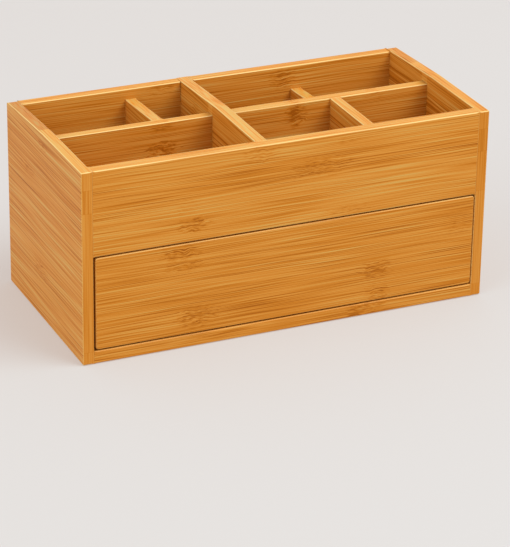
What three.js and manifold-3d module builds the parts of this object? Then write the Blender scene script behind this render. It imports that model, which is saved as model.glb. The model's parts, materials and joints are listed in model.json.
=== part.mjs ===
// Desk organizer: a bamboo case with seven open compartments above one inset drawer.
// Millimetres. X runs along the width, -Y is the front and +Z is up. The origin is on the desk,
// under the middle of the case. Every board is a mesh of its own, and the drawer's boards are in a
// group that slides out along -Y.

import * as THREE from 'three';
import * as BufferGeometryUtils from 'three/addons/utils/BufferGeometryUtils.js';
import Module from 'manifold-3d';

const wasm = await Module();
wasm.setup();

// ---- Case ----
const WIDTH = 300;
const DEPTH = 146;
const HEIGHT = 139.5; // underside of the base to the front rim
const SIDE_FALL = 3; // the side panels drop this much from mid-depth to the back
const BACK_FALL = 3.5; // the back panel and the centre divider end this far below the front rim
const BOARD = 8; // side panels, back panel and most dividers
const RAIL_BOARD = 9; // front rail and drawer front
const BASE_BOARD = 9;
const CENTRE_BOARD = 8.75;
const CROSS_BOARD = 7; // left cross divider
const TRAY_BOARD = 5;

// ---- Anti-slip pads, let into the base ----
const PAD_DIAMETER = 12;
const PAD_THICKNESS = 1.25;
const PAD_PROUD = 0.5;
const PAD_INSET = 18; // pad centre to the case's outer faces
const PAD_CLEARANCE = 0.3;

// ---- Joinery ----
const HOUSING = 1.25; // depth of the slots that hold the ends of the dividers
const GROOVE = 3; // depth of the grooves that hold the tray floor and the drawer bottom
const FIT = 0.25; // clearance of a board in its slot
const LAP_HEIGHT = 14; // tab of the centre divider that crosses the back panel's top
const DOWEL_DIAMETER = 4;
const DOWEL_LENGTH = 22;
const DOWEL_IN_SIDE = 5.25;
const BORE_CLEARANCE = 0.3;

// ---- Compartments, as places of the divider boards' middles ----
const CENTRE_X = -18.5;
const LEFT_CROSS_Y = 11.75;
const RIGHT_CROSS_Y = 9.75;
const LEFT_REAR_X = -61;
const RIGHT_REAR_X = 66.75;
const RIGHT_FRONT_X = 70;
const LEFT_CROSS_TOP = 131.25; // heights above the base's underside
const RIGHT_CROSS_TOP = 132;
const RIGHT_REAR_TOP = 121.25;
const DIVIDER_FALL = 2.75; // the two rear dividers drop this much to the back

// ---- Drawer ----
const OPENING_TOP = 78; // underside of the front rail above the base's underside
const TRAY_LIFT = 2; // underside of the tray floor above the underside of the front rail
const FRONT_GAP = 1; // above and below the drawer front
const LEFT_GAP = 1.5; // the drawer sits towards the right of its opening
const RIGHT_GAP = 0.5;
const FRONT_CORNER = 2; // radius of the drawer front's corners
const DRAWER_BOARD = 7;
const DRAWER_SHEET = 3; // drawer bottom
const SIDE_PLAY = 1; // the drawer box is this much narrower than its front at each end
const SIDE_HEIGHT = 56;
const RUN_CLEARANCE = 0.25; // under the drawer sides
const SHEET_LIFT = 4; // drawer bottom above the lower edge of the drawer sides
const BEHIND_DRAWER = 2.5;
const BACK_SETBACK = 3; // drawer back in front of the drawer sides' rear ends
const FINGER_HOLE_DIAMETER = 22;
const FINGER_HOLE_Z = 40;

// ---- Levels and faces worked out from the above ----
const BOTTOM = PAD_PROUD;
const RIM = BOTTOM + HEIGHT;
const FRONT_Y = -DEPTH / 2;
const BACK_Y = DEPTH / 2;
const RAIL_BACK_Y = FRONT_Y + RAIL_BOARD;
const BACK_FACE_Y = BACK_Y - BOARD;
const INNER_X = WIDTH / 2 - BOARD;
const BASE_TOP = BOTTOM + BASE_BOARD;
const RAIL_BOTTOM = BOTTOM + OPENING_TOP;
const TRAY_BOTTOM = RAIL_BOTTOM + TRAY_LIFT;
const TRAY_TOP = TRAY_BOTTOM + TRAY_BOARD;
const CENTRE_LEFT_X = CENTRE_X - CENTRE_BOARD / 2;
const CENTRE_RIGHT_X = CENTRE_X + CENTRE_BOARD / 2;
const PAST = 1; // cutters reach this far past the face that they enter

const X = new THREE.Vector3(1, 0, 0);
const Y = new THREE.Vector3(0, 1, 0);
const Z = new THREE.Vector3(0, 0, 1);

// ---- Materials ----
const BAMBOO = { case: 0xc98a3e, divider: 0xc4823a, drawer: 0xcb8b3c, light: 0xd9a55c };
const PAD_COLOUR = 0x706860;

function bamboo(colour) {
  return new THREE.MeshStandardMaterial({ color: colour, roughness: 0.55, metalness: 0 });
}

function rubber() {
  return new THREE.MeshStandardMaterial({ color: PAD_COLOUR, roughness: 0.9, metalness: 0 });
}

// ---- Solids ----
function toSolid(geometry) {
  const bare = geometry.clone();
  bare.deleteAttribute('normal');
  bare.deleteAttribute('uv');
  const merged = BufferGeometryUtils.mergeVertices(bare, 1e-4);
  return new wasm.Manifold(new wasm.Mesh({
    numProp: 3,
    vertProperties: new Float32Array(merged.attributes.position.array),
    triVerts: new Uint32Array(merged.index.array),
  }));
}

function toGeometry(solid) {
  const mesh = solid.getMesh();
  const geometry = new THREE.BufferGeometry();
  geometry.setAttribute('position', new THREE.BufferAttribute(mesh.vertProperties, 3));
  geometry.setIndex(new THREE.BufferAttribute(mesh.triVerts, 1));
  const flat = geometry.toNonIndexed();
  flat.computeVertexNormals();
  return flat;
}

// A box between two corners given as [x, y, z].
function box(low, high) {
  const size = high.map((value, i) => value - low[i]);
  const middle = high.map((value, i) => (value + low[i]) / 2);
  return toSolid(new THREE.BoxGeometry(...size).translate(...middle));
}

// A board cut from an outline of [y, z] points, between two planes across X.
function boardAcrossX(outline, lowX, highX) {
  const shape = new THREE.Shape(outline.map(([y, z]) => new THREE.Vector2(y, z)));
  const geometry = new THREE.ExtrudeGeometry(shape, { depth: highX - lowX, bevelEnabled: false });
  geometry.applyMatrix4(new THREE.Matrix4().makeBasis(Y, Z, X));
  return toSolid(geometry.translate(lowX, 0, 0));
}

function cylinder(axis, middle, radius, length, sides) {
  const geometry = new THREE.CylinderGeometry(radius, radius, length, sides);
  if (axis === 'x') geometry.applyMatrix4(new THREE.Matrix4().makeBasis(Y, X, Z.clone().negate()));
  if (axis === 'z') geometry.applyMatrix4(new THREE.Matrix4().makeBasis(X, Z, Y.clone().negate()));
  return toSolid(geometry.translate(...middle));
}

function cut(solid, cutters) {
  return cutters.reduce((left, cutter) => left.subtract(cutter), solid);
}

// Height of a rim that is level to mid-depth and then falls in a straight line to the back.
function rimHeight(y, fall) {
  return RIM - fall * Math.max(0, y / BACK_Y);
}

// ---- Scene graph ----
const organizer = new THREE.Group();
const caseGroup = new THREE.Group();
const drawerGroup = new THREE.Group();
organizer.add(caseGroup, drawerGroup);

// Adds a solid to a group as a named mesh whose own origin is the middle of its box.
function add(group, name, solid, material) {
  const geometry = toGeometry(solid);
  geometry.computeBoundingBox();
  const middle = geometry.boundingBox.getCenter(new THREE.Vector3());
  geometry.translate(-middle.x, -middle.y, -middle.z);
  const mesh = new THREE.Mesh(geometry, material);
  mesh.name = name;
  mesh.position.copy(middle);
  group.add(mesh);
}

// ---- Dowels of the case: two in each end of the front rail, the base and the back panel ----
const DOWEL_JOINTS = {
  rail: { y: FRONT_Y + RAIL_BOARD / 2, spots: [['lower', BOTTOM + 95], ['upper', BOTTOM + 125]] },
  back: { y: BACK_Y - BOARD / 2, spots: [['lower', BOTTOM + 35], ['upper', BOTTOM + 110]] },
  base: { z: BOTTOM + BASE_BOARD / 2, spots: [['front', -48], ['rear', 44]] },
};

function dowelPlaces(board) {
  const joint = DOWEL_JOINTS[board];
  return joint.spots.map(([label, place]) => ({
    label,
    y: joint.y ?? place,
    z: joint.z ?? place,
  }));
}

const BORE_RADIUS = DOWEL_DIAMETER / 2 + BORE_CLEARANCE;
const BORE_SIDES = 14;

// Bores in the inner face of a side panel, for every board that meets it. side is -1 or 1.
function boresInSide(side) {
  const depth = DOWEL_IN_SIDE + FIT;
  const middleX = side * (INNER_X + (depth - PAST) / 2);
  return Object.keys(DOWEL_JOINTS).flatMap(board => dowelPlaces(board).map(({ y, z }) =>
    cylinder('x', [middleX, y, z], BORE_RADIUS, depth + PAST, BORE_SIDES)));
}

// Bores in both ends of a board that stands between the side panels.
function boresInEnds(board) {
  const depth = DOWEL_LENGTH - DOWEL_IN_SIDE + FIT;
  const middleX = INNER_X - (depth - PAST) / 2;
  return dowelPlaces(board).flatMap(({ y, z }) => [-1, 1].map(side =>
    cylinder('x', [side * middleX, y, z], BORE_RADIUS, depth + PAST, BORE_SIDES)));
}

function addDowels() {
  const middleX = INNER_X + DOWEL_IN_SIDE - DOWEL_LENGTH / 2;
  for (const [sideName, side] of [['left', -1], ['right', 1]]) {
    for (const board of Object.keys(DOWEL_JOINTS)) {
      for (const { label, y, z } of dowelPlaces(board)) {
        const middle = [side * middleX, y, z];
        const solid = cylinder('x', middle, DOWEL_DIAMETER / 2, DOWEL_LENGTH, BORE_SIDES);
        add(caseGroup, `dowel_${sideName}_${board}_${label}`, solid, bamboo(BAMBOO.light));
      }
    }
  }
}

// ---- Housings and grooves ----
// Slot in a board's face for the end of a cross divider. It stops at the divider's top, so the rim
// above it is whole. faceX is the face that it is cut into, and inward is -1 or 1, into the board.
function crossHousing(faceX, inward, middleY, thickness, top) {
  const edges = [faceX - inward * PAST, faceX + inward * HOUSING].sort((a, b) => a - b);
  const half = thickness / 2 + FIT;
  return box([edges[0], middleY - half, TRAY_TOP], [edges[1], middleY + half, BOTTOM + top + FIT]);
}

function trayGroove() {
  const reach = GROOVE + FIT;
  return box(
    [-INNER_X - reach, RAIL_BACK_Y - reach, TRAY_BOTTOM],
    [INNER_X + reach, BACK_FACE_Y + reach, TRAY_TOP + FIT],
  );
}

// ---- Case boards ----
function addSidePanels() {
  const outline = [
    [FRONT_Y, BOTTOM],
    [BACK_Y, BOTTOM],
    [BACK_Y, rimHeight(BACK_Y, SIDE_FALL)],
    [0, RIM],
    [FRONT_Y, RIM],
  ];
  const housings = {
    left: crossHousing(-INNER_X, -1, LEFT_CROSS_Y, CROSS_BOARD, LEFT_CROSS_TOP),
    right: crossHousing(INNER_X, 1, RIGHT_CROSS_Y, BOARD, RIGHT_CROSS_TOP),
  };
  for (const [name, side] of [['left', -1], ['right', 1]]) {
    const [lowX, highX] = [side * WIDTH / 2, side * INNER_X].sort((a, b) => a - b);
    const board = boardAcrossX(outline, lowX, highX);
    const solid = cut(board, [trayGroove(), housings[name], ...boresInSide(side)]);
    add(caseGroup, `${name}_side_panel`, solid, bamboo(BAMBOO.case));
  }
}

function padPlaces() {
  const reachX = WIDTH / 2 - PAD_INSET;
  const reachY = DEPTH / 2 - PAD_INSET;
  return [
    ['front_left', -reachX, -reachY],
    ['front_right', reachX, -reachY],
    ['rear_left', -reachX, reachY],
    ['rear_right', reachX, reachY],
  ];
}

const PAD_SIDES = 24;

function addBase() {
  const recessTop = PAD_THICKNESS + FIT;
  const recesses = padPlaces().map(([, x, y]) => cylinder(
    'z', [x, y, (recessTop - PAST) / 2], PAD_DIAMETER / 2 + PAD_CLEARANCE, recessTop + PAST, PAD_SIDES));
  const board = box([-INNER_X, FRONT_Y, BOTTOM], [INNER_X, BACK_Y, BASE_TOP]);
  add(caseGroup, 'base_panel', cut(board, [...recesses, ...boresInEnds('base')]), bamboo(BAMBOO.case));
}

function addPads() {
  for (const [name, x, y] of padPlaces()) {
    const solid = cylinder('z', [x, y, PAD_THICKNESS / 2], PAD_DIAMETER / 2, PAD_THICKNESS, PAD_SIDES);
    add(caseGroup, `anti_slip_pad_${name}`, solid, rubber());
  }
}

function addFrontRail() {
  const board = box([-INNER_X, FRONT_Y, RAIL_BOTTOM], [INNER_X, RAIL_BACK_Y, RIM]);
  const centreHousing = box(
    [CENTRE_LEFT_X - FIT, RAIL_BACK_Y - HOUSING, TRAY_TOP],
    [CENTRE_RIGHT_X + FIT, RAIL_BACK_Y + PAST, RIM + PAST],
  );
  const solid = cut(board, [trayGroove(), centreHousing, ...boresInEnds('rail')]);
  add(caseGroup, 'front_rail', solid, bamboo(BAMBOO.case));
}

function addBackPanel() {
  const top = RIM - BACK_FALL;
  const board = box([-INNER_X, BACK_FACE_Y, BASE_TOP], [INNER_X, BACK_Y, top]);
  const lapSlot = box(
    [CENTRE_LEFT_X - FIT, BACK_FACE_Y - PAST, top - LAP_HEIGHT - FIT],
    [CENTRE_RIGHT_X + FIT, BACK_Y + PAST, top + PAST],
  );
  const fingerHole = cylinder(
    'y', [0, BACK_Y - BOARD / 2, BOTTOM + FINGER_HOLE_Z], FINGER_HOLE_DIAMETER / 2, BOARD + 2 * PAST, 32);
  const solid = cut(board, [trayGroove(), lapSlot, fingerHole, ...boresInEnds('back')]);
  add(caseGroup, 'back_panel', solid, bamboo(BAMBOO.case));
}

function addTrayFloor() {
  const solid = box(
    [-INNER_X - GROOVE, RAIL_BACK_Y - GROOVE, TRAY_BOTTOM],
    [INNER_X + GROOVE, BACK_FACE_Y + GROOVE, TRAY_TOP],
  );
  add(caseGroup, 'tray_floor', solid, bamboo(BAMBOO.case));
}

// ---- Dividers ----
function addCentreDivider() {
  const top = RIM - BACK_FALL;
  const frontY = RAIL_BACK_Y - HOUSING + FIT;
  const outline = [
    [frontY, TRAY_TOP],
    [BACK_FACE_Y, TRAY_TOP],
    [BACK_FACE_Y, top - LAP_HEIGHT],
    [BACK_Y, top - LAP_HEIGHT],
    [BACK_Y, top],
    [0, RIM],
    [frontY, RIM],
  ];
  const solid = cut(boardAcrossX(outline, CENTRE_LEFT_X, CENTRE_RIGHT_X), [
    crossHousing(CENTRE_LEFT_X, 1, LEFT_CROSS_Y, CROSS_BOARD, LEFT_CROSS_TOP),
    crossHousing(CENTRE_RIGHT_X, -1, RIGHT_CROSS_Y, BOARD, RIGHT_CROSS_TOP),
  ]);
  add(caseGroup, 'centre_divider', solid, bamboo(BAMBOO.divider));
}

// A divider across the width, with both ends in housings.
function crossDivider(name, lowFaceX, highFaceX, middleY, thickness, top) {
  const seat = HOUSING - FIT;
  const solid = box(
    [lowFaceX - seat, middleY - thickness / 2, TRAY_TOP],
    [highFaceX + seat, middleY + thickness / 2, BOTTOM + top],
  );
  add(caseGroup, name, solid, bamboo(BAMBOO.divider));
}

// A divider from front to back, butted against the boards at its ends.
function lengthDivider(name, middleX, frontY, backY, frontTop, backTop) {
  const outline = [
    [frontY, TRAY_TOP],
    [backY, TRAY_TOP],
    [backY, BOTTOM + backTop],
    [frontY, BOTTOM + frontTop],
  ];
  const solid = boardAcrossX(outline, middleX - BOARD / 2, middleX + BOARD / 2);
  add(caseGroup, name, solid, bamboo(BAMBOO.divider));
}

function addDividers() {
  addCentreDivider();
  crossDivider(
    'left_cross_divider', -INNER_X, CENTRE_LEFT_X, LEFT_CROSS_Y, CROSS_BOARD, LEFT_CROSS_TOP);
  crossDivider('right_cross_divider', CENTRE_RIGHT_X, INNER_X, RIGHT_CROSS_Y, BOARD, RIGHT_CROSS_TOP);
  const leftCrossBackY = LEFT_CROSS_Y + CROSS_BOARD / 2;
  const rightCrossBackY = RIGHT_CROSS_Y + BOARD / 2;
  const rightCrossFrontY = RIGHT_CROSS_Y - BOARD / 2;
  lengthDivider('left_rear_divider', LEFT_REAR_X, leftCrossBackY, BACK_FACE_Y,
    LEFT_CROSS_TOP, LEFT_CROSS_TOP - DIVIDER_FALL);
  lengthDivider('right_rear_divider', RIGHT_REAR_X, rightCrossBackY, BACK_FACE_Y,
    RIGHT_REAR_TOP, RIGHT_REAR_TOP - DIVIDER_FALL);
  lengthDivider('right_front_divider', RIGHT_FRONT_X, RAIL_BACK_Y, rightCrossFrontY,
    RIGHT_CROSS_TOP, RIGHT_CROSS_TOP);
}

// ---- Drawer ----
// The drawer group's origin is at the front face of the drawer front, in the middle of its lower edge.
const FRONT_WIDTH = 2 * INNER_X - LEFT_GAP - RIGHT_GAP;
const FRONT_HEIGHT = RAIL_BOTTOM - BASE_TOP - 2 * FRONT_GAP;
const BOX_HALF = FRONT_WIDTH / 2 - SIDE_PLAY; // outer face of a drawer side
const BOX_BOTTOM = RUN_CLEARANCE - FRONT_GAP; // lower edge of the drawer sides
const BOX_DEPTH = DEPTH - BOARD - BEHIND_DRAWER;
const SHEET_BOTTOM = BOX_BOTTOM + SHEET_LIFT;
const SHEET_TOP = SHEET_BOTTOM + DRAWER_SHEET;
const DRAWER_BACK_REAR = BOX_DEPTH - BACK_SETBACK;

// Grooves and slots between the drawer's boards, as cutters.
function sheetGroove() {
  const reach = BOX_HALF - DRAWER_BOARD + GROOVE;
  return box(
    [-reach - FIT, RAIL_BOARD - GROOVE, SHEET_BOTTOM],
    [reach + FIT, BOX_DEPTH + PAST, SHEET_TOP + FIT],
  );
}

function sideSlotInFront(side) {
  const edges = [side * (BOX_HALF + FIT), side * (BOX_HALF - DRAWER_BOARD - FIT)].sort((a, b) => a - b);
  return box(
    [edges[0], RAIL_BOARD - GROOVE, -PAST],
    [edges[1], RAIL_BOARD + PAST, BOX_BOTTOM + SIDE_HEIGHT + FIT],
  );
}

function backSlots() {
  const reach = BOX_HALF - DRAWER_BOARD + GROOVE;
  return box(
    [-reach, DRAWER_BACK_REAR - DRAWER_BOARD - FIT, SHEET_BOTTOM],
    [reach, DRAWER_BACK_REAR + FIT, BOX_BOTTOM + SIDE_HEIGHT + PAST],
  );
}

function drawerFrontBlank() {
  const [half, r] = [FRONT_WIDTH / 2, FRONT_CORNER];
  const shape = new THREE.Shape();
  shape.moveTo(-half + r, 0);
  shape.lineTo(half - r, 0);
  shape.absarc(half - r, r, r, -Math.PI / 2, 0);
  shape.lineTo(half, FRONT_HEIGHT - r);
  shape.absarc(half - r, FRONT_HEIGHT - r, r, 0, Math.PI / 2);
  shape.lineTo(-half + r, FRONT_HEIGHT);
  shape.absarc(-half + r, FRONT_HEIGHT - r, r, Math.PI / 2, Math.PI);
  shape.lineTo(-half, r);
  shape.absarc(-half + r, r, r, Math.PI, 1.5 * Math.PI);
  const geometry = new THREE.ExtrudeGeometry(shape, {
    depth: RAIL_BOARD, bevelEnabled: false, curveSegments: 4,
  });
  geometry.applyMatrix4(new THREE.Matrix4().makeBasis(X, Z, Y.clone().negate()));
  return toSolid(geometry.translate(0, RAIL_BOARD, 0));
}

function addDrawer() {
  drawerGroup.position.set((LEFT_GAP - RIGHT_GAP) / 2, FRONT_Y, BASE_TOP + FRONT_GAP);

  const front = cut(drawerFrontBlank(), [sheetGroove(), sideSlotInFront(-1), sideSlotInFront(1)]);
  add(drawerGroup, 'drawer_front', front, bamboo(BAMBOO.drawer));

  for (const [name, side] of [['left', -1], ['right', 1]]) {
    const [lowX, highX] = [side * BOX_HALF, side * (BOX_HALF - DRAWER_BOARD)].sort((a, b) => a - b);
    const board = box(
      [lowX, RAIL_BOARD - GROOVE + FIT, BOX_BOTTOM], [highX, BOX_DEPTH, BOX_BOTTOM + SIDE_HEIGHT]);
    const solid = cut(board, [sheetGroove(), backSlots()]);
    add(drawerGroup, `drawer_${name}_side`, solid, bamboo(BAMBOO.light));
  }

  const seat = BOX_HALF - DRAWER_BOARD + GROOVE - FIT;
  const back = box(
    [-seat, DRAWER_BACK_REAR - DRAWER_BOARD, SHEET_TOP],
    [seat, DRAWER_BACK_REAR, BOX_BOTTOM + SIDE_HEIGHT],
  );
  add(drawerGroup, 'drawer_back', back, bamboo(BAMBOO.light));

  const sheet = box([-seat, RAIL_BOARD - GROOVE + FIT, SHEET_BOTTOM], [seat, DRAWER_BACK_REAR, SHEET_TOP]);
  add(drawerGroup, 'drawer_bottom', sheet, bamboo(BAMBOO.light));
}

addSidePanels();
addBase();
addPads();
addFrontRail();
addBackPanel();
addTrayFloor();
addDividers();
addDowels();
addDrawer();

export default organizer;
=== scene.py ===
"""A bamboo desk organizer, seven open compartments above one drawer, on a pale studio floor.

Metres in the CAD model's frame: X along the width, -Y to the front, +Z up. The bamboo finish is
written in millimetres. Each CAD board is copied into a piece with eased arrises and a bamboo of its
own grain, strips and growth nodes. The dowels and the anti-slip pads are made in mesh code.
"""

import json
import math

import bmesh
import bpy
from mathutils import Matrix, Vector


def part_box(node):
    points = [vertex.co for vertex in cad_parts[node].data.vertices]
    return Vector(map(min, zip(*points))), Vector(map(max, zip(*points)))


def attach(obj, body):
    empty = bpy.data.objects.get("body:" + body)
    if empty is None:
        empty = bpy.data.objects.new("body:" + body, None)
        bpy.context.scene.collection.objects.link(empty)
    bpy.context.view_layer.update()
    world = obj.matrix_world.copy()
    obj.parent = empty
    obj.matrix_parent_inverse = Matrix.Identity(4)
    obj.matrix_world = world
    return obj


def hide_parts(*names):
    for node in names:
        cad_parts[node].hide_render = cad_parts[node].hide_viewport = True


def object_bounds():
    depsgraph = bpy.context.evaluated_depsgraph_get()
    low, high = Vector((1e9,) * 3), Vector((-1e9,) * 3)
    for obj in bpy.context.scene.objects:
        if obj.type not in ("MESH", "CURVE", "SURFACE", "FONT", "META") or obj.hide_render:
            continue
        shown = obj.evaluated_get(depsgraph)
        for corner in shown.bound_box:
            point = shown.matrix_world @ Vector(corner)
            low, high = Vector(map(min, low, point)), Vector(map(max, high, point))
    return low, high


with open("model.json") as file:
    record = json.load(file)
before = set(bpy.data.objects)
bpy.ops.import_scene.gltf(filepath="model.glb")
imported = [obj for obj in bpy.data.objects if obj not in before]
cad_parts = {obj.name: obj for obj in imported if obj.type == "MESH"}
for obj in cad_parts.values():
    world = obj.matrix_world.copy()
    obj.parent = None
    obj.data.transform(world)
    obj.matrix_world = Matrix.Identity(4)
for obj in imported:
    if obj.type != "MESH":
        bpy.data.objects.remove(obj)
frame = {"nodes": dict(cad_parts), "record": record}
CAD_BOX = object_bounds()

MM = 0.001
AXES = {"X": 0, "Y": 1, "Z": 2}


def link(name, data):
    thing = bpy.data.objects.new(name, data)
    bpy.context.scene.collection.objects.link(thing)
    return thing


# ---- Camera ----
CAMERA_AZIMUTH = math.radians(-24.27)
CAMERA_ELEVATION = math.radians(24.91)
CAMERA_ROLL = math.radians(0.956)
CAMERA_DISTANCE = 1.9412
AIM_RIGHT = 0.00712  # the camera aims at a point this far right of the case's middle, and
AIM_DOWN = 0.05332  # this far below it, as seen
LENS = 182.5
NEAR_CLIP = 0.1
FAR_CLIP = 100.0


def direction(azimuth, elevation):
    """Unit vector to a place round the case. Azimuth 0 is in front of it, and pi / 2 to its right."""
    return Vector((
        math.sin(azimuth) * math.cos(elevation),
        -math.cos(azimuth) * math.cos(elevation),
        math.sin(elevation),
    ))


def add_camera():
    """A long lens from the front left, above the rim, with the case in the upper part of the view."""
    back = direction(CAMERA_AZIMUTH, CAMERA_ELEVATION)
    level_right = Vector((math.cos(CAMERA_AZIMUTH), math.sin(CAMERA_AZIMUTH), 0))
    level_up = back.cross(level_right)
    middle = (CAD_BOX[0] + CAD_BOX[1]) / 2
    target = middle + level_right * AIM_RIGHT - level_up * AIM_DOWN
    right = level_right * math.cos(CAMERA_ROLL) + level_up * math.sin(CAMERA_ROLL)
    up = level_up * math.cos(CAMERA_ROLL) - level_right * math.sin(CAMERA_ROLL)
    data = bpy.data.cameras.new("camera")
    data.lens = LENS
    data.clip_start = NEAR_CLIP
    data.clip_end = FAR_CLIP
    camera = link("camera", data)
    camera.location = target + back * CAMERA_DISTANCE
    camera.rotation_euler = Matrix((right, up, back)).transposed().to_euler()
    bpy.context.scene.camera = camera


# ---- Shader nodes ----
NOISE_MIDDLE = 0.5


class Nodes:
    """Short ways to add shader nodes to a tree and to link them."""

    def __init__(self, tree):
        self.tree = tree

    def add(self, kind, **settings):
        node = self.tree.nodes.new(kind)
        for name, value in settings.items():
            setattr(node, name, value)
        return node

    def feed(self, socket, value):
        """Links an output to the socket, or sets the socket to a plain value."""
        if isinstance(value, bpy.types.NodeSocket):
            self.tree.links.new(value, socket)
        else:
            socket.default_value = value

    def math(self, operation, *values, clamp=False):
        node = self.add("ShaderNodeMath", operation=operation, use_clamp=clamp)
        for socket, value in zip(node.inputs, values):
            self.feed(socket, value)
        return node.outputs[0]

    def total(self, *values):
        """Sum of the values, each an output or a (noise, amount) pair, which sways evenly about 0."""
        result = None
        for value in values:
            if isinstance(value, tuple):
                noise, amount = value
                value = self.math("MULTIPLY_ADD", noise, amount, -amount * NOISE_MIDDLE)
            result = value if result is None else self.math("ADD", result, value)
        return result

    def vector(self, x, y, z):
        node = self.add("ShaderNodeCombineXYZ")
        for socket, value in zip(node.inputs, (x, y, z)):
            self.feed(socket, value)
        return node.outputs[0]

    def split(self, vector):
        node = self.add("ShaderNodeSeparateXYZ")
        self.feed(node.inputs[0], vector)
        return list(node.outputs)

    def noise(self, vector, detail=2.0, roughness=0.5):
        node = self.add("ShaderNodeTexNoise", noise_dimensions="3D")
        self.feed(node.inputs["Vector"], vector)
        node.inputs["Scale"].default_value = 1.0
        node.inputs["Detail"].default_value = detail
        node.inputs["Roughness"].default_value = roughness
        return node.outputs["Fac"]

    def smooth(self, value, low, high, to_low=0.0, to_high=1.0):
        """Turns low..high smoothly into to_low..to_high, and stays there outside."""
        node = self.add("ShaderNodeMapRange", interpolation_type="SMOOTHSTEP")
        for socket, setting in zip(node.inputs, (value, low, high, to_low, to_high)):
            self.feed(socket, setting)
        return node.outputs[0]

    def mix(self, share, first, second, blend="MIX"):
        """Mixes two colours. A mix node has sockets for numbers and vectors ahead of those for colour."""
        node = self.add("ShaderNodeMix", data_type="RGBA", blend_type=blend)
        self.feed(node.inputs["Factor"], share)
        self.feed(node.inputs[6], first)
        self.feed(node.inputs[7], second)
        return node.outputs[2]

    def ramp(self, value, stops):
        """Colour ramp through (position, (r, g, b)) stops in linear colour."""
        node = self.add("ShaderNodeValToRGB")
        elements = node.color_ramp.elements
        while len(elements) < len(stops):
            elements.new(0.5)
        for element, (position, colour) in zip(elements, stops):
            element.position = position
            element.color = (*colour, 1)
        self.feed(node.inputs["Fac"], value)
        return node.outputs["Color"]

    def in_millimetres(self, vector):
        node = self.add("ShaderNodeVectorMath", operation="SCALE")
        self.feed(node.inputs[0], vector)
        node.inputs["Scale"].default_value = 1 / MM
        return node.outputs[0]

    def relief(self, shader, height, strength, distance):
        """Gives the shader a fine relief. Its full height stands for the distance in metres."""
        node = self.add("ShaderNodeBump")
        node.inputs["Strength"].default_value = strength
        node.inputs["Distance"].default_value = distance
        self.feed(node.inputs["Height"], height)
        self.feed(shader.inputs["Normal"], node.outputs["Normal"])


def new_material(name):
    material = bpy.data.materials.new(name)
    material.use_nodes = True
    tree = material.node_tree
    return material, Nodes(tree), tree.nodes["Principled BSDF"]


# ---- Bamboo ----
BAMBOO_COLOURS = (
    (0.00, (0.290, 0.082, 0.004)),
    (0.27, (0.445, 0.148, 0.009)),
    (0.50, (0.513, 0.198, 0.026)),
    (0.72, (0.550, 0.246, 0.042)),
    (1.00, (0.500, 0.310, 0.080)),
)
# Pale colour of the eased arrises: partly edge wear, partly painted highlight.
ARRIS_WEAR_AND_HIGHLIGHT_COLOUR = (0.64, 0.46, 0.18, 1)
LEVEL_ARRIS_HIGHLIGHT_SHARE = 0.35  # arrises that don't face up have this share of the paleness, painted highlight, of those that do
BAMBOO_SPECULAR = 0.09
BAMBOO_BUMP = (0.35, 0.12 * MM)  # strength and depth

# Tones are shifts along the colours above.
GROWTH_NODE_TONE = -0.22
LAYER_TONE = 0.45  # how much the layers differ on a narrow face
PLUG_TONE = 0.22
GLUE_TONE = -0.10

# Millimetres.
MEANDER = 2.2  # how far the fibres sway
SWERVE = 6.0  # how far they bend more at a growth node
BOARD_APART = 173.1  # from the place in the noises that one board or strip has to the next one's
GLUE_LINE = (0.35, 0.1)  # from a seam to where its glue line starts, and to where it is full
PLUG_BLUR = 0.15
# Blur of the painted shade on the rear parts of the side panels' rims.
REAR_RIM_SHADE_BLUR = 0.3

# Shares of a growth node's size.
RAGGED = 1.5  # how uneven its rim is
GROWTH_NODE_RIM = (0.25, 1.25)  # where it starts to fade, and where it ends

# Where a mask of a board's faces starts and is full, as the size of one part of their normal.
END_FACING = (0.80, 0.95)
NARROW_FACING = (0.6, 0.3)
PLUG_FACING = (0.8, 0.9)
UP_FACING = (0.0, 0.5)
BENT = (0.995, 0.90)

FIBRE_INPUTS = ("Along", "Across", "Depth", "Strip", "Growth node", "End grain", "Arris", "Tone")


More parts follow.
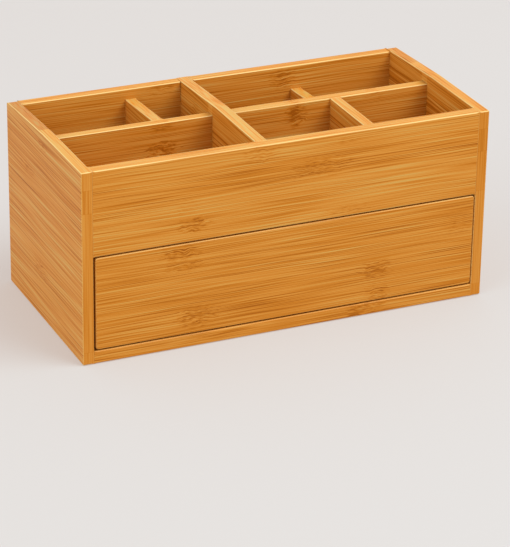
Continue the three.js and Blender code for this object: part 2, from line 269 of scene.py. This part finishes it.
def fibre_group():
    """Node group with the colour, roughness and height of laminated bamboo.

    Along, Across and Depth are millimetres along the grain, across the board's face and into its
    thickness. Strip numbers the glued strips. Growth node, End grain and Arris are masks.
    """
    tree = bpy.data.node_groups.new("bamboo fibre", "ShaderNodeTree")
    for name in FIBRE_INPUTS:
        tree.interface.new_socket(name, in_out="INPUT", socket_type="NodeSocketFloat")
    tree.interface.new_socket("Color", in_out="OUTPUT", socket_type="NodeSocketColor")
    for name in ("Roughness", "Height"):
        tree.interface.new_socket(name, in_out="OUTPUT", socket_type="NodeSocketFloat")
    n = Nodes(tree)
    along, across, depth, strip, knot, end, arris, tone = list(
        n.add("NodeGroupInput").outputs)[:len(FIBRE_INPUTS)]

    def stretched(length, width, shift, start=across):
        """Place in a noise whose features are length mm along the grain and width mm across.

        The shift keeps the noises apart.
        """
        return n.vector(
            n.math("MULTIPLY_ADD", along, 1 / length, shift),
            n.math("MULTIPLY", start, 1 / width),
            n.math("MULTIPLY_ADD", depth, 1 / width, shift),
        )

    # Fibres meander slowly everywhere, and swerve round a growth node.
    meander = n.noise(stretched(85, 16, 3.1), 1)
    swerve = n.noise(stretched(10, 9, 5.7), 1)
    swerved = n.math("MULTIPLY", n.math("SUBTRACT", swerve, NOISE_MIDDLE), knot)
    run = n.total(across, (meander, MEANDER), n.math("MULTIPLY", swerved, SWERVE))

    band = n.noise(stretched(150, 7.0, 1.3, run), 1)
    streak = n.noise(stretched(120, 2.6, 7.9, run), 1)
    fine = n.noise(stretched(75, 0.50, 2.2, run), 0)
    hair = n.noise(stretched(50, 0.38, 6.3, run), 1)
    fleck = n.noise(stretched(4.6, 0.9, 9.4, run), 2, 0.55)
    strip_tone = n.noise(n.vector(n.math("MULTIPLY_ADD", strip, 3.7, 0.4), n.math(
        "MULTIPLY", along, 1 / 120), 0.5), 0)
    face_value = n.total(
        0.5, (band, 0.06), (streak, 0.03), (fine, 1.35), (hair, 0.75), (strip_tone, 0.10))
    # A growth node is darker, with short dark and pale dashes in it.
    dashes = n.total(GROWTH_NODE_TONE, (fleck, 1.6))
    face_value = n.total(face_value, n.math("MULTIPLY", dashes, knot))

    # The end grain shows the thin layers as lines across the thickness.
    layer = n.noise(n.vector(n.math("MULTIPLY", depth, 1 / 0.6), n.math(
        "MULTIPLY", across, 1 / 55), strip), 2, 0.6)
    block = n.noise(n.vector(n.math("MULTIPLY", strip, 2.63), 0.3, 0.7), 0)
    pores = n.noise(n.vector(n.math("MULTIPLY", depth, 1 / 0.3), n.math(
        "MULTIPLY", across, 1 / 0.5), 1.0), 1)
    end_value = n.total(0.45, (layer, 1.1), (block, 0.2), (pores, 0.18))

    value = n.math("ADD", n.total(
        n.math("MULTIPLY", face_value, n.math("SUBTRACT", 1.0, end)),
        n.math("MULTIPLY", end_value, end),
    ), tone, clamp=True)
    colour = n.ramp(value, BAMBOO_COLOURS)
    # The arrises turn pale: partly edge wear, partly painted highlight.
    uneven = n.math("MULTIPLY", arris, n.smooth(streak, 0.30, 0.65, 0.65, 1.0))
    colour = n.mix(uneven, colour, ARRIS_WEAR_AND_HIGHLIGHT_COLOUR)

    out = n.add("NodeGroupOutput")
    n.feed(out.inputs["Color"], colour)
    n.feed(out.inputs["Roughness"], n.math("MULTIPLY_ADD", value, -0.12, 0.43))
    n.feed(out.inputs["Height"], n.total((fine, 0.8), (hair, 0.4), n.math(
        "MULTIPLY", dashes, n.math("MULTIPLY", knot, 0.4))))
    return tree


def strips(n, across, tone, seams):
    """Number and tone of the glued strip at each height, with the glue lines between the strips."""
    strip, strip_tone, previous = 0.0, tone, tone
    for seam, above in seams:
        past = n.math("GREATER_THAN", across, seam)
        strip = n.math("ADD", past, strip)
        strip_tone = n.math("MULTIPLY_ADD", past, above - previous, strip_tone)
        previous = above
        glue_line = n.smooth(n.math("ABSOLUTE", n.math("SUBTRACT", across, seam)), *GLUE_LINE)
        strip_tone = n.math("MULTIPLY_ADD", glue_line, GLUE_TONE, strip_tone)
    return strip, strip_tone


def growth_nodes(n, along, across, marks):
    """Mask of the growth nodes, which are oval patches with ragged rims."""
    uneven = n.noise(n.vector(
        n.math("MULTIPLY", along, 1 / 6), n.math("MULTIPLY", across, 1 / 2.2), 0.0), 2)
    ragged = n.total((uneven, RAGGED))
    mask = 0.0
    for at_along, at_across, half_along, half_across, strength in marks:
        off_along = n.math("MULTIPLY_ADD", along, 1 / half_along, -at_along / half_along)
        off_across = n.math("MULTIPLY_ADD", across, 1 / half_across, -at_across / half_across)
        reach = n.math("SQRT", n.total(
            n.math("POWER", off_along, 2.0), n.math("POWER", off_across, 2.0)))
        patch = n.smooth(n.total(reach, ragged), *GROWTH_NODE_RIM, strength, 0.0)
        mask = n.math("MAXIMUM", patch, mask)
    return mask


def plug_mask(n, along, across, toward, plug):
    """Mask of the flush filling of a housing, as (along, half width, bottom, side that it faces)."""
    middle, half, bottom, side = plug
    off = n.math("ABSOLUTE", n.math("SUBTRACT", along, middle))
    inside = n.math("MULTIPLY", n.smooth(off, half + PLUG_BLUR, half - PLUG_BLUR), n.math(
        "GREATER_THAN", across, bottom))
    return n.math("MULTIPLY", inside, n.smooth(n.math("MULTIPLY", toward, side), *PLUG_FACING))


def arris_wear_and_highlight_mask(n, normal, wear_and_highlight):
    """Mask of the pale eased arrises, partly edge wear and partly painted highlight. Those that face up
    are the palest, by painted highlight.
    """
    widest = 0.0
    for part in normal:
        widest = n.math("MAXIMUM", n.math("ABSOLUTE", part), widest)
    flag = n.add("ShaderNodeAttribute", attribute_name="arris").outputs["Fac"]
    bent = n.math("MULTIPLY", flag, n.smooth(widest, *BENT))
    return n.math("MULTIPLY", bent, n.smooth(
        normal[2], *UP_FACING, LEVEL_ARRIS_HIGHLIGHT_SHARE * wear_and_highlight, wear_and_highlight))


def bamboo(name, fibre, grain, face, seed, tone=0.0, seams=(), marks=(), plugs=(), edge_tone_and_painted_light=0.25,
           rear_rim_painted_shade=None, coarseness=1.0, wear_and_highlight=1.0):
    """Bamboo whose grain runs along one axis, on boards whose wide faces hold another axis too.

    seams are (height, tone of the strip above it), marks are growth nodes and plugs are the fillings
    of housings. The narrow faces along the grain have edge_tone_and_painted_light, partly their own tone
    and partly painted light on the rims, and rear_rim_painted_shade is (where painted shade starts on
    them, its colour).
    coarseness widens the fibres, and worn is how pale the arrises are, by wear and painted highlight.
    """
    material, n, shader = new_material(name)
    place = n.add("ShaderNodeTexCoord")
    spot = n.split(n.in_millimetres(place.outputs["Object"]))
    normal = n.split(place.outputs["Normal"])
    thin = 3 - AXES[grain] - AXES[face]  # the axis that is left, through the board's thickness
    along, across, depth = spot[AXES[grain]], spot[AXES[face]], spot[thin]

    strip, tone = strips(n, across, tone, seams)
    numbered = n.math("ADD", strip, float(seed))
    knot = growth_nodes(n, along, across, marks)
    end = n.smooth(n.math("ABSOLUTE", normal[AXES[grain]]), *END_FACING)
    edge = n.smooth(n.math("ABSOLUTE", normal[thin]), *NARROW_FACING)
    edge = n.math("MULTIPLY", edge, n.math("SUBTRACT", 1.0, end))
    layers = n.noise(n.vector(
        n.math("MULTIPLY", depth, 1 / 1.5), n.math("MULTIPLY", along, 1 / 260), float(seed)), 1)
    # The narrow faces get edge_tone_and_painted_light: partly their own tone, partly painted light on the
    # rims.
    tone = n.math("MULTIPLY_ADD", edge, n.total(edge_tone_and_painted_light, (layers, LAYER_TONE)), tone)
    for plug in plugs:
        filled = plug_mask(n, along, across, normal[thin], plug)
        tone = n.math("MULTIPLY_ADD", filled, PLUG_TONE, tone)

    group = n.add("ShaderNodeGroup", node_tree=fibre)
    values = (
        n.math("MULTIPLY_ADD", numbered, BOARD_APART, along),
        n.math("MULTIPLY", across, 1 / coarseness),
        n.math("MULTIPLY", depth, 1 / coarseness),
        numbered,
        knot,
        end,
        arris_wear_and_highlight_mask(n, normal, wear_and_highlight),
        tone,
    )
    for socket, value in zip(group.inputs, values):
        n.feed(socket, value)
    colour = group.outputs["Color"]
    # Painted shade: the narrow faces turn darker behind rear_rim_painted_shade's start, by its colour.
    if rear_rim_painted_shade:
        start, shade = rear_rim_painted_shade
        behind = n.smooth(along, start - REAR_RIM_SHADE_BLUR, start + REAR_RIM_SHADE_BLUR)
        painted_shade_share = n.math("MULTIPLY", edge, behind)
        colour = n.mix(painted_shade_share, colour, (*shade, 1), "MULTIPLY")
    n.feed(shader.inputs["Base Color"], colour)
    n.feed(shader.inputs["Roughness"], group.outputs["Roughness"])
    shader.inputs["Specular IOR Level"].default_value = BAMBOO_SPECULAR
    n.relief(shader, group.outputs["Height"], *BAMBOO_BUMP)
    return material


# The boards' looks, as bamboo() takes them, in millimetres. face is the wide faces' axis across the
# grain, seams are (height, tone above it) from a lowest strip that has tone, and marks are (along,
# across, half length, half width, strength). A board's seed is its place in this list.
# edge_tone_and_painted_light and worn are partly the wood's own tone and wear and partly painted light;
# rear_rim_painted_shade is painted shade on the side panels' rims.
BOARDS = {
    "front_rail": dict(
        grain="X", face="Z", tone=0.06, seams=((110.5, -0.10), (127, 0.02)), slot="bamboo_case",
        edge_tone_and_painted_light=0.19,
        marks=((-70, 90, 13, 6, 1.0), (22, 118, 22, 8, 0.7), (-22, 135, 14, 7, 0.6),
               (44, 83.5, 18, 4, 0.5), (-75, 104, 9, 6, 0.3), (42, 134, 9, 4, 0.4))),
    "drawer_front": dict(
        grain="X", face="Z", tone=-0.08, seams=((40.5, -0.04), (58.8, -0.07)),
        slot="bamboo_drawer_front", edge_tone_and_painted_light=0.0, wear_and_highlight=0.45,
        marks=((-80, 71, 15, 6, 1.0), (-77, 61, 16, 4, 0.7), (-68, 22, 16, 8, 1.0),
               (66, 34, 13, 8, 0.9), (68, 16, 10, 7, 0.9), (131, 58, 13, 8, 0.4))),
    "base_panel": dict(
        grain="X", face="Y", seams=((-36, 0.04), (-7, -0.05), (21, 0.03), (49, -0.02)),
        slot="bamboo_case", edge_tone_and_painted_light=-0.10, wear_and_highlight=0.2,
        marks=((58, -70, 16, 9, 0.6), (-96, 12, 9, 9, 0.9), (20, 36, 8, 9, 0.9))),
    "back_panel": dict(
        grain="X", face="Z", tone=0.0, seams=((35, 0.03), (62, -0.04), (91, 0.03), (117, 0.0)),
        slot="bamboo_case", edge_tone_and_painted_light=0.13,
        marks=((56, 127, 12, 10, 0.8), (-35, 133, 16, 6, 0.6), (-88, 76, 9, 12, 0.9),
               (70, 48, 9, 12, 0.9), (-20, 104, 8, 9, 0.8), (104, 20, 8, 9, 0.8))),
    "left_side_panel": dict(
        grain="Y", face="Z", tone=0.0, seams=((9.5, 0.03), (110.5, -0.07), (127, 0.02)),
        slot="bamboo_case", plugs=((11.75, 3.5, 131.9, 1),), edge_tone_and_painted_light=0.26,
        rear_rim_painted_shade=(8.0, (0.81, 0.70, 0.62)), coarseness=1.3,
        marks=((8, 37, 16, 7, 0.6), (0, 131, 10, 4, 0.6), (30, 104, 14, 4, 0.5))),
    "right_side_panel": dict(
        grain="Y", face="Z", tone=-0.05, seams=((9.5, -0.02), (81, -0.07), (110.5, -0.11), (127, -0.04)),
        slot="bamboo_case", plugs=((9.75, 4.0, 132.6, -1),), edge_tone_and_painted_light=0.13,
        rear_rim_painted_shade=(34.0, (0.92, 0.84, 0.72)), coarseness=1.5,
        marks=((-20, 96, 9, 9, 0.8), (34, 52, 9, 11, 0.9), (-38, 24, 8, 8, 0.8))),
    "tray_floor": dict(
        grain="X", face="Y", seams=((-36, 0.03), (-8, -0.03), (20, 0.02), (48, -0.02)),
        slot="bamboo_case", marks=((-100, -20, 9, 9, 0.9), (40, 30, 9, 9, 0.9))),
    "centre_divider": dict(
        grain="Y", face="Z", tone=-0.05, seams=((112, -0.03),), slot="bamboo_divider", coarseness=1.6,
        edge_tone_and_painted_light=0.30, plugs=((11.75, 3.5, 131.9, -1), (9.75, 4.0, 132.6, 1)),
        marks=((38, 126, 9, 6, 0.5),)),
    "left_cross_divider": dict(
        grain="X", face="Z", tone=0.05, seams=((114, -0.03),), slot="bamboo_divider",
        marks=((-60, 128, 12, 4, 0.7), (-60, 111.5, 12, 7, 1.6))),
    "right_cross_divider": dict(
        grain="X", face="Z", tone=0.0, seams=((113, -0.02),), slot="bamboo_divider",
        marks=((40, 124, 8, 11, 1.5), (101, 131, 10, 4, 0.5))),
    "left_rear_divider": dict(
        grain="Y", face="Z", tone=0.05, seams=((108, 0.02),), slot="bamboo_divider", coarseness=1.6),
    "right_rear_divider": dict(
        grain="Y", face="Z", tone=0.0, seams=((104, 0.02),), slot="bamboo_divider", coarseness=1.6),
    "right_front_divider": dict(
        grain="Y", face="Z", tone=0.0, seams=((110, -0.02),), slot="bamboo_divider", coarseness=1.6),
    "drawer_left_side": dict(
        grain="Y", face="Z", tone=0.1, seams=((38, 0.04),), slot="bamboo_drawer_box",
        marks=((20, 50, 8, 9, 0.8),)),
    "drawer_right_side": dict(
        grain="Y", face="Z", tone=0.1, seams=((38, 0.14),), slot="bamboo_drawer_box",
        marks=((-12, 28, 8, 8, 0.8),)),
    "drawer_back": dict(
        grain="X", face="Z", tone=0.1, seams=((40, 0.05),), slot="bamboo_drawer_box",
        marks=((-52, 52, 8, 9, 0.8),)),
    "drawer_bottom": dict(
        grain="X", face="Y", tone=0.1, seams=((-40, 0.14), (-12, 0.08), (16, 0.12), (44, 0.09)),
        slot="bamboo_drawer_box", marks=((-60, 0, 8, 10, 0.8), (72, -28, 8, 9, 0.8))),
}


# ---- Boards in mesh code ----
CORNER = 3.4 * MM  # width of the rounding at the top rear corners of the side panels
CORNER_SEGMENTS = 3
ARRIS_SHARE = 0.26  # of that width, on an eased edge that is free
JOINT_SHARE = 0.058  # the same, where another board meets the edge
NARROW_SHARE = 0.097  # the same, on the thin walls of slots and grooves
NARROW = 3.5 * MM  # walls that reach less far than this are thin
REAR_TOP_FALL = 8 * MM  # the side panels' top is lower by less than this at their rear end
REAR_REACH = 0.1 * MM  # a corner this near to a board's rear end is on it
TAPER = 0.8 * MM  # length over which an eased edge changes width
END_CLEAR = 1.6 * MM  # it changes no nearer to its ends than this
TOUCH = 1.05 * MM  # boards this near to an edge meet it
SHARP = math.radians(30)
FLAT = math.radians(0.5)
LEVEL = 1e-9  # an edge that runs less far than this along an axis is level in it
MERGE = 1e-6  # corners this near to one another are one
CUT_REACH = 1e-7  # a cut runs through the corners this near to it
HOLE_CLEAR = 3 * MM  # from a hole's rim to the cut beside it


def body_of(node):
    for body, members in frame["record"]["behaviour"]["bodies"].items():
        if node in members:
            return body


def contact_span(start, end, box):
    """Shares of the way from start to end between which the line is in the box, or None."""
    enter, leave = 0.0, 1.0
    for axis in range(3):
        low, high = box[0][axis] - TOUCH, box[1][axis] + TOUCH
        step = end[axis] - start[axis]
        if abs(step) < LEVEL:
            if not low <= start[axis] <= high:
                return None
            continue
        near, far = sorted(((low - start[axis]) / step, (high - start[axis]) / step))
        enter, leave = max(enter, near), min(leave, far)
    return (enter, leave) if enter < leave else None


def face_reach(face, edge):
    """How far a face reaches from one of its edges."""
    start = edge.verts[0].co
    along = (edge.verts[1].co - start).normalized()
    return max((v.co - start - along * (v.co - start).dot(along)).length for v in face.verts)


def is_flat(edge):
    return len(edge.link_faces) == 2 and edge.calc_face_angle(0) < FLAT


def is_corner(vertex):
    return sum(edge.calc_face_angle(0) > SHARP for edge in vertex.link_edges) > 2


def free_corners(mesh):
    """Cuts flat faces beside their holes, so that no edge inside a flat face ends at a corner."""
    while True:
        ties = [e for e in mesh.edges if is_flat(e) and is_corner(e.verts[0]) != is_corner(e.verts[1])]
        if not ties:
            return
        tie = ties[0]
        corner = tie.verts[0] if is_corner(tie.verts[0]) else tie.verts[1]
        rim = tie.other_vert(corner)
        step = corner.co - rim.co
        across = Vector([float(abs(part) == max(map(abs, step))) for part in step])
        faces = list(tie.link_faces)
        around = {part for face in faces for part in (face, *face.edges, *face.verts)}
        bmesh.ops.bisect_plane(
            mesh, geom=list(around), dist=CUT_REACH,
            plane_co=rim.co + step * (HOLE_CLEAR / step.length), plane_no=across)
        bmesh.ops.dissolve_edges(
            mesh, edges=[e for e in corner.link_edges if is_flat(e)], use_verts=False)


def is_rear_top(edge, box):
    """Whether the edge runs along X where the board's top meets its rear end."""
    high = box[1]
    return all(
        high.y - v.co.y < REAR_REACH and high.z - v.co.z < REAR_TOP_FALL for v in edge.verts)


def split_shares(start, end, spans):
    """Shares of the way along an edge at which its eased width changes, and 1."""
    length = (end - start).length
    taper, clear = TAPER / length, END_CLEAR / length
    shares = set()
    for span in spans:
        for stop in span:
            shares.update(s for s in (stop - taper, stop, stop + taper) if clear < s < 1 - clear)
    return sorted(shares) + [1.0]


def ease_weights(mesh, box, neighbours, rounded):
    """Gives each sharp outer edge its share of the eased width, and splits it where that changes.

    rounded boards have the full width where their top meets their rear end.
    """
    weight = mesh.edges.layers.float.new("bevel_weight_edge")
    for edge in list(mesh.edges):
        if len(edge.link_faces) != 2 or edge.calc_face_angle(0) < SHARP:
            continue
        if not edge.is_convex:
            edge.smooth = False
            continue
        if rounded and is_rear_top(edge, box):
            edge[weight] = 1.0
            continue
        thin = min(face_reach(face, edge) for face in edge.link_faces) < NARROW
        free = NARROW_SHARE if thin else ARRIS_SHARE
        start, end = edge.verts[0].co.copy(), edge.verts[1].co.copy()
        spans = [contact_span(start, end, other) for other in neighbours]
        spans = [span for span in spans if span]
        vertex, rest, passed = edge.verts[0], edge, 0.0
        for share in split_shares(start, end, spans):
            part = rest
            if share < 1.0:
                part, vertex = bmesh.utils.edge_split(rest, vertex, (share - passed) / (1 - passed))
            middle = (passed + share) / 2
            touching = any(low <= middle <= high for low, high in spans)
            part[weight] = JOINT_SHARE if touching else free
            passed = share


def weighted_mesh(node):
    """Mesh of a CAD board without its flat seams, and with a width for each edge to ease."""
    mesh = bmesh.new()
    mesh.from_mesh(frame["nodes"][node].data)
    bmesh.ops.remove_doubles(mesh, verts=mesh.verts, dist=MERGE)
    bmesh.ops.dissolve_limit(mesh, angle_limit=FLAT, verts=mesh.verts, edges=mesh.edges)
    free_corners(mesh)
    body = body_of(node)
    neighbours = [
        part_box(other) for other in frame["nodes"]
        if other != node and body_of(other) == body and not other.startswith("anti_slip_pad")
    ]
    ease_weights(mesh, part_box(node), neighbours, node.endswith("side_panel"))
    for face in mesh.faces:
        face.smooth = True
        face.material_index = 0
    data = bpy.data.meshes.new(node + "_plain")
    mesh.to_mesh(data)
    mesh.free()
    if "custom_normal" in data.attributes:
        data.attributes.remove(data.attributes["custom_normal"])
    return data


def eased_mesh(plain):
    """The plain mesh with its edges eased, and the eased faces flagged by the arris attribute.

    The modifier puts those faces in the second of two empty material slots, which tells them apart.
    """
    blank = link(plain.name + "_blank", plain)
    plain.materials.append(None)
    plain.materials.append(None)
    ease = blank.modifiers.new("eased arrises", "BEVEL")
    ease.limit_method = "WEIGHT"
    ease.width = CORNER
    ease.segments = CORNER_SEGMENTS
    ease.use_clamp_overlap = False
    ease.harden_normals = True
    ease.material = 1
    graph = bpy.context.evaluated_depsgraph_get()
    eased = bpy.data.meshes.new_from_object(
        blank.evaluated_get(graph), preserve_all_data_layers=True, depsgraph=graph)
    bpy.data.objects.remove(blank)
    bpy.data.meshes.remove(plain)
    flag = eased.attributes.new("arris", "FLOAT", "FACE")
    for face in eased.polygons:
        flag.data[face.index].value = float(face.material_index == 1)
        face.material_index = 0
    eased.materials.clear()
    return eased


def add_boards():
    fibre = fibre_group()
    for seed, (node, look) in enumerate(BOARDS.items(), start=1):
        look = dict(look)
        slot = look.pop("slot")
        mesh = eased_mesh(weighted_mesh(node))
        mesh.name = node + "_wood"
        mesh.materials.append(bamboo(node + "_bamboo", fibre, seed=seed, **look))
        piece = link(mesh.name, mesh)
        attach(piece, body_of(node))
        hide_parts(node)


# ---- Turned pieces: dowels and pads ----
def turned_mesh(name, rings, sides, radius_at):
    """Closed mesh round Z through rings of (height, radius). radius_at(radius, side) shapes a ring."""
    mesh = bmesh.new()
    loops = []
    for height, radius in rings:
        loop = []
        for side in range(sides):
            turn = 2 * math.pi * side / sides
            reach = radius_at(radius, side)
            loop.append(mesh.verts.new((reach * math.cos(turn), reach * math.sin(turn), height)))
        loops.append(loop)
    for lower, upper in zip(loops, loops[1:]):
        for side in range(sides):
            after = (side + 1) % sides
            mesh.faces.new((lower[side], lower[after], upper[after], upper[side]))
    mesh.faces.new(reversed(loops[0]))
    mesh.faces.new(loops[-1])
    for face in mesh.faces:
        face.smooth = len(face.verts) == 4
    data = bpy.data.meshes.new(name)
    mesh.to_mesh(data)
    mesh.free()
    return data


DOWEL_SIDES = 32
FLUTE = 0.12 * MM
DOWEL_CHAMFER = 0.5 * MM
DOWEL_BUMP = (0.4, 0.08 * MM)  # strength and depth
DOWEL_COLOURS = ((0.3, (0.50, 0.31, 0.15)), (0.7, (0.66, 0.46, 0.26)))
RAY_COLOUR = (0.36, 0.19, 0.08, 1)


def dowel_mesh(length, radius):
    """Fluted dowel along Z with chamfered ends, centred on its middle."""
    half = length / 2
    rings = (
        (-half, radius - DOWEL_CHAMFER),
        (-half + DOWEL_CHAMFER, radius),
        (half - DOWEL_CHAMFER, radius),
        (half, radius - DOWEL_CHAMFER),
    )
    return turned_mesh("dowel", rings, DOWEL_SIDES, lambda reach, side: reach - FLUTE * (side % 2))


def dowel_material():
    """Beech with its grain along Z and the short dark dashes of its rays."""
    material, n, shader = new_material("dowel_beech")
    x, y, z = n.split(n.add("ShaderNodeTexCoord").outputs["Object"])

    def dashed(across, along, detail):
        """Noise that is finer across the grain than along it."""
        return n.noise(n.vector(
            n.math("MULTIPLY", x, across), n.math("MULTIPLY", y, across), n.math("MULTIPLY", z, along),
        ), detail)

    grain = dashed(900, 60, 3)
    rays = n.smooth(dashed(2500, 420, 1), 0.62, 0.72)
    n.feed(shader.inputs["Base Color"], n.mix(rays, n.ramp(grain, DOWEL_COLOURS), RAY_COLOUR))
    n.feed(shader.inputs["Roughness"], n.smooth(grain, 0.3, 0.7, 0.72, 0.60))
    n.relief(shader, grain, *DOWEL_BUMP)
    return material


def add_dowels():
    material = dowel_material()
    for node in sorted(frame["nodes"]):
        if not node.startswith("dowel_"):
            continue
        low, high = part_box(node)
        size = high - low
        mesh = dowel_mesh(size.x, min(size.y, size.z) / 2)
        mesh.materials.append(material)
        piece = link(node + "_beech", mesh)
        piece.rotation_euler = (0, math.pi / 2, 0)
        piece.location = (low + high) / 2
        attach(piece, body_of(node))
        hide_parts(node)


PAD_SIDES = 48
PAD_EDGE = 0.25 * MM
PAD_RIDGE = 0.12 * MM
PAD_RIDGES = 3
PAD_BUMP = (0.5, 0.1 * MM)  # strength and depth
PAD_SPECULAR = 0.35
PAD_COLOURS = ((0.3, (0.10, 0.088, 0.075)), (0.7, (0.19, 0.165, 0.14)))

# Shares of the pad's radius.
PAD_CENTRE = 0.12
RIDGE_START = 0.20
RIDGE_PITCH = 0.24
RIDGE_SLOPE = 0.03
RIDGE_WIDTH = 0.17


def pad_mesh(radius, height):
    """Round pad with an eased rim and fine ring grooves in its underside, from z = 0 up."""
    rings = [(PAD_RIDGE, PAD_CENTRE * radius)]
    for ridge in range(PAD_RIDGES):
        start = RIDGE_START + RIDGE_PITCH * ridge
        end = start + RIDGE_WIDTH
        rings += [
            (PAD_RIDGE, start * radius),
            (0.0, (start + RIDGE_SLOPE) * radius),
            (0.0, (end - RIDGE_SLOPE) * radius),
            (PAD_RIDGE, end * radius),
        ]
    rings += [
        (PAD_RIDGE / 2, radius - PAD_EDGE),
        (PAD_EDGE, radius),
        (height - PAD_EDGE, radius),
        (height, radius - PAD_EDGE),
    ]
    return turned_mesh("pad", rings, PAD_SIDES, lambda reach, side: reach)


def pad_material():
    """Dark rubber with a fine grit."""
    material, n, shader = new_material("pad_rubber")
    grit = n.noise(n.in_millimetres(n.add("ShaderNodeTexCoord").outputs["Object"]), 3, 0.6)
    n.feed(shader.inputs["Base Color"], n.ramp(grit, PAD_COLOURS))
    n.feed(shader.inputs["Roughness"], n.smooth(grit, 0.3, 0.7, 0.82, 0.95))
    shader.inputs["Specular IOR Level"].default_value = PAD_SPECULAR
    n.relief(shader, grit, *PAD_BUMP)
    return material


def add_pads():
    material = pad_material()
    for node in sorted(frame["nodes"]):
        if not node.startswith("anti_slip_pad_"):
            continue
        low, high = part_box(node)
        size = high - low
        mesh = pad_mesh(min(size.x, size.y) / 2, size.z)
        mesh.materials.append(material)
        piece = link(node + "_rubber", mesh)
        piece.location = ((low.x + high.x) / 2, (low.y + high.y) / 2, low.z)
        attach(piece, body_of(node))
        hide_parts(node)


# ---- Studio ----
FLOOR_HALF = 25.0
FLOOR_CELLS = 8
FLOOR_ROUGHNESS = 0.85
FLOOR_SPECULAR = 0.1
FLOOR_COLOUR = (0.187, 0.244, 0.268)
FLOOR_CLOUDS = (0.99, 1.01)  # the floor's colour varies between these shares of itself
GLOW_COLOUR = (1.0, 0.745, 0.63)
FLOOR_GLOW = 0.46  # a light table, so the shadows on it stay soft and warm
SKY_COLOUR = (1.0, 0.99, 0.98)
SKY_STRENGTH = 0.86
LIGHT_DISTANCE = 4.0
LIGHTS = (  # name, azimuth and elevation in degrees, side in metres, watts, colour
    ("key", 47, 53, 2.6, 152.0, (1.0, 0.985, 0.975)),
    ("fill", -74, 26, 3.2, 80.0, (1.0, 0.96, 0.90)),
)


def add_floor():
    mesh = bmesh.new()
    bmesh.ops.create_grid(mesh, x_segments=FLOOR_CELLS, y_segments=FLOOR_CELLS, size=FLOOR_HALF)
    data = bpy.data.meshes.new("floor")
    mesh.to_mesh(data)
    mesh.free()
    material, n, shader = new_material("floor_paper")
    cloud = n.noise(n.add("ShaderNodeTexCoord").outputs["Object"], 1)
    dark, light = ((*(part * share for part in FLOOR_COLOUR), 1) for share in FLOOR_CLOUDS)
    n.feed(shader.inputs["Base Color"], n.mix(cloud, dark, light))
    shader.inputs["Roughness"].default_value = FLOOR_ROUGHNESS
    shader.inputs["Specular IOR Level"].default_value = FLOOR_SPECULAR
    shader.inputs["Emission Color"].default_value = (*GLOW_COLOUR, 1)
    shader.inputs["Emission Strength"].default_value = FLOOR_GLOW
    data.materials.append(material)
    floor = link("floor", data)


def add_light(name, azimuth, elevation, size, power, colour):
    """Square area light that faces the case."""
    data = bpy.data.lights.new(name, "AREA")
    data.shape = "SQUARE"
    data.size = size
    data.energy = power
    data.color = colour
    lamp = link(name, data)
    back = direction(math.radians(azimuth), math.radians(elevation))
    lamp.location = back * LIGHT_DISTANCE
    lamp.rotation_euler = back.to_track_quat("Z", "Y").to_euler()


def add_studio():
    add_floor()
    world = bpy.data.worlds.new("studio")
    bpy.context.scene.world = world
    world.use_nodes = True
    sky = world.node_tree.nodes["Background"]
    sky.inputs["Color"].default_value = (*SKY_COLOUR, 1)
    sky.inputs["Strength"].default_value = SKY_STRENGTH
    for light in LIGHTS:
        add_light(*light)
    bpy.context.scene.view_settings.view_transform = "Standard"


add_camera()
add_studio()
add_boards()
add_dowels()
add_pads()
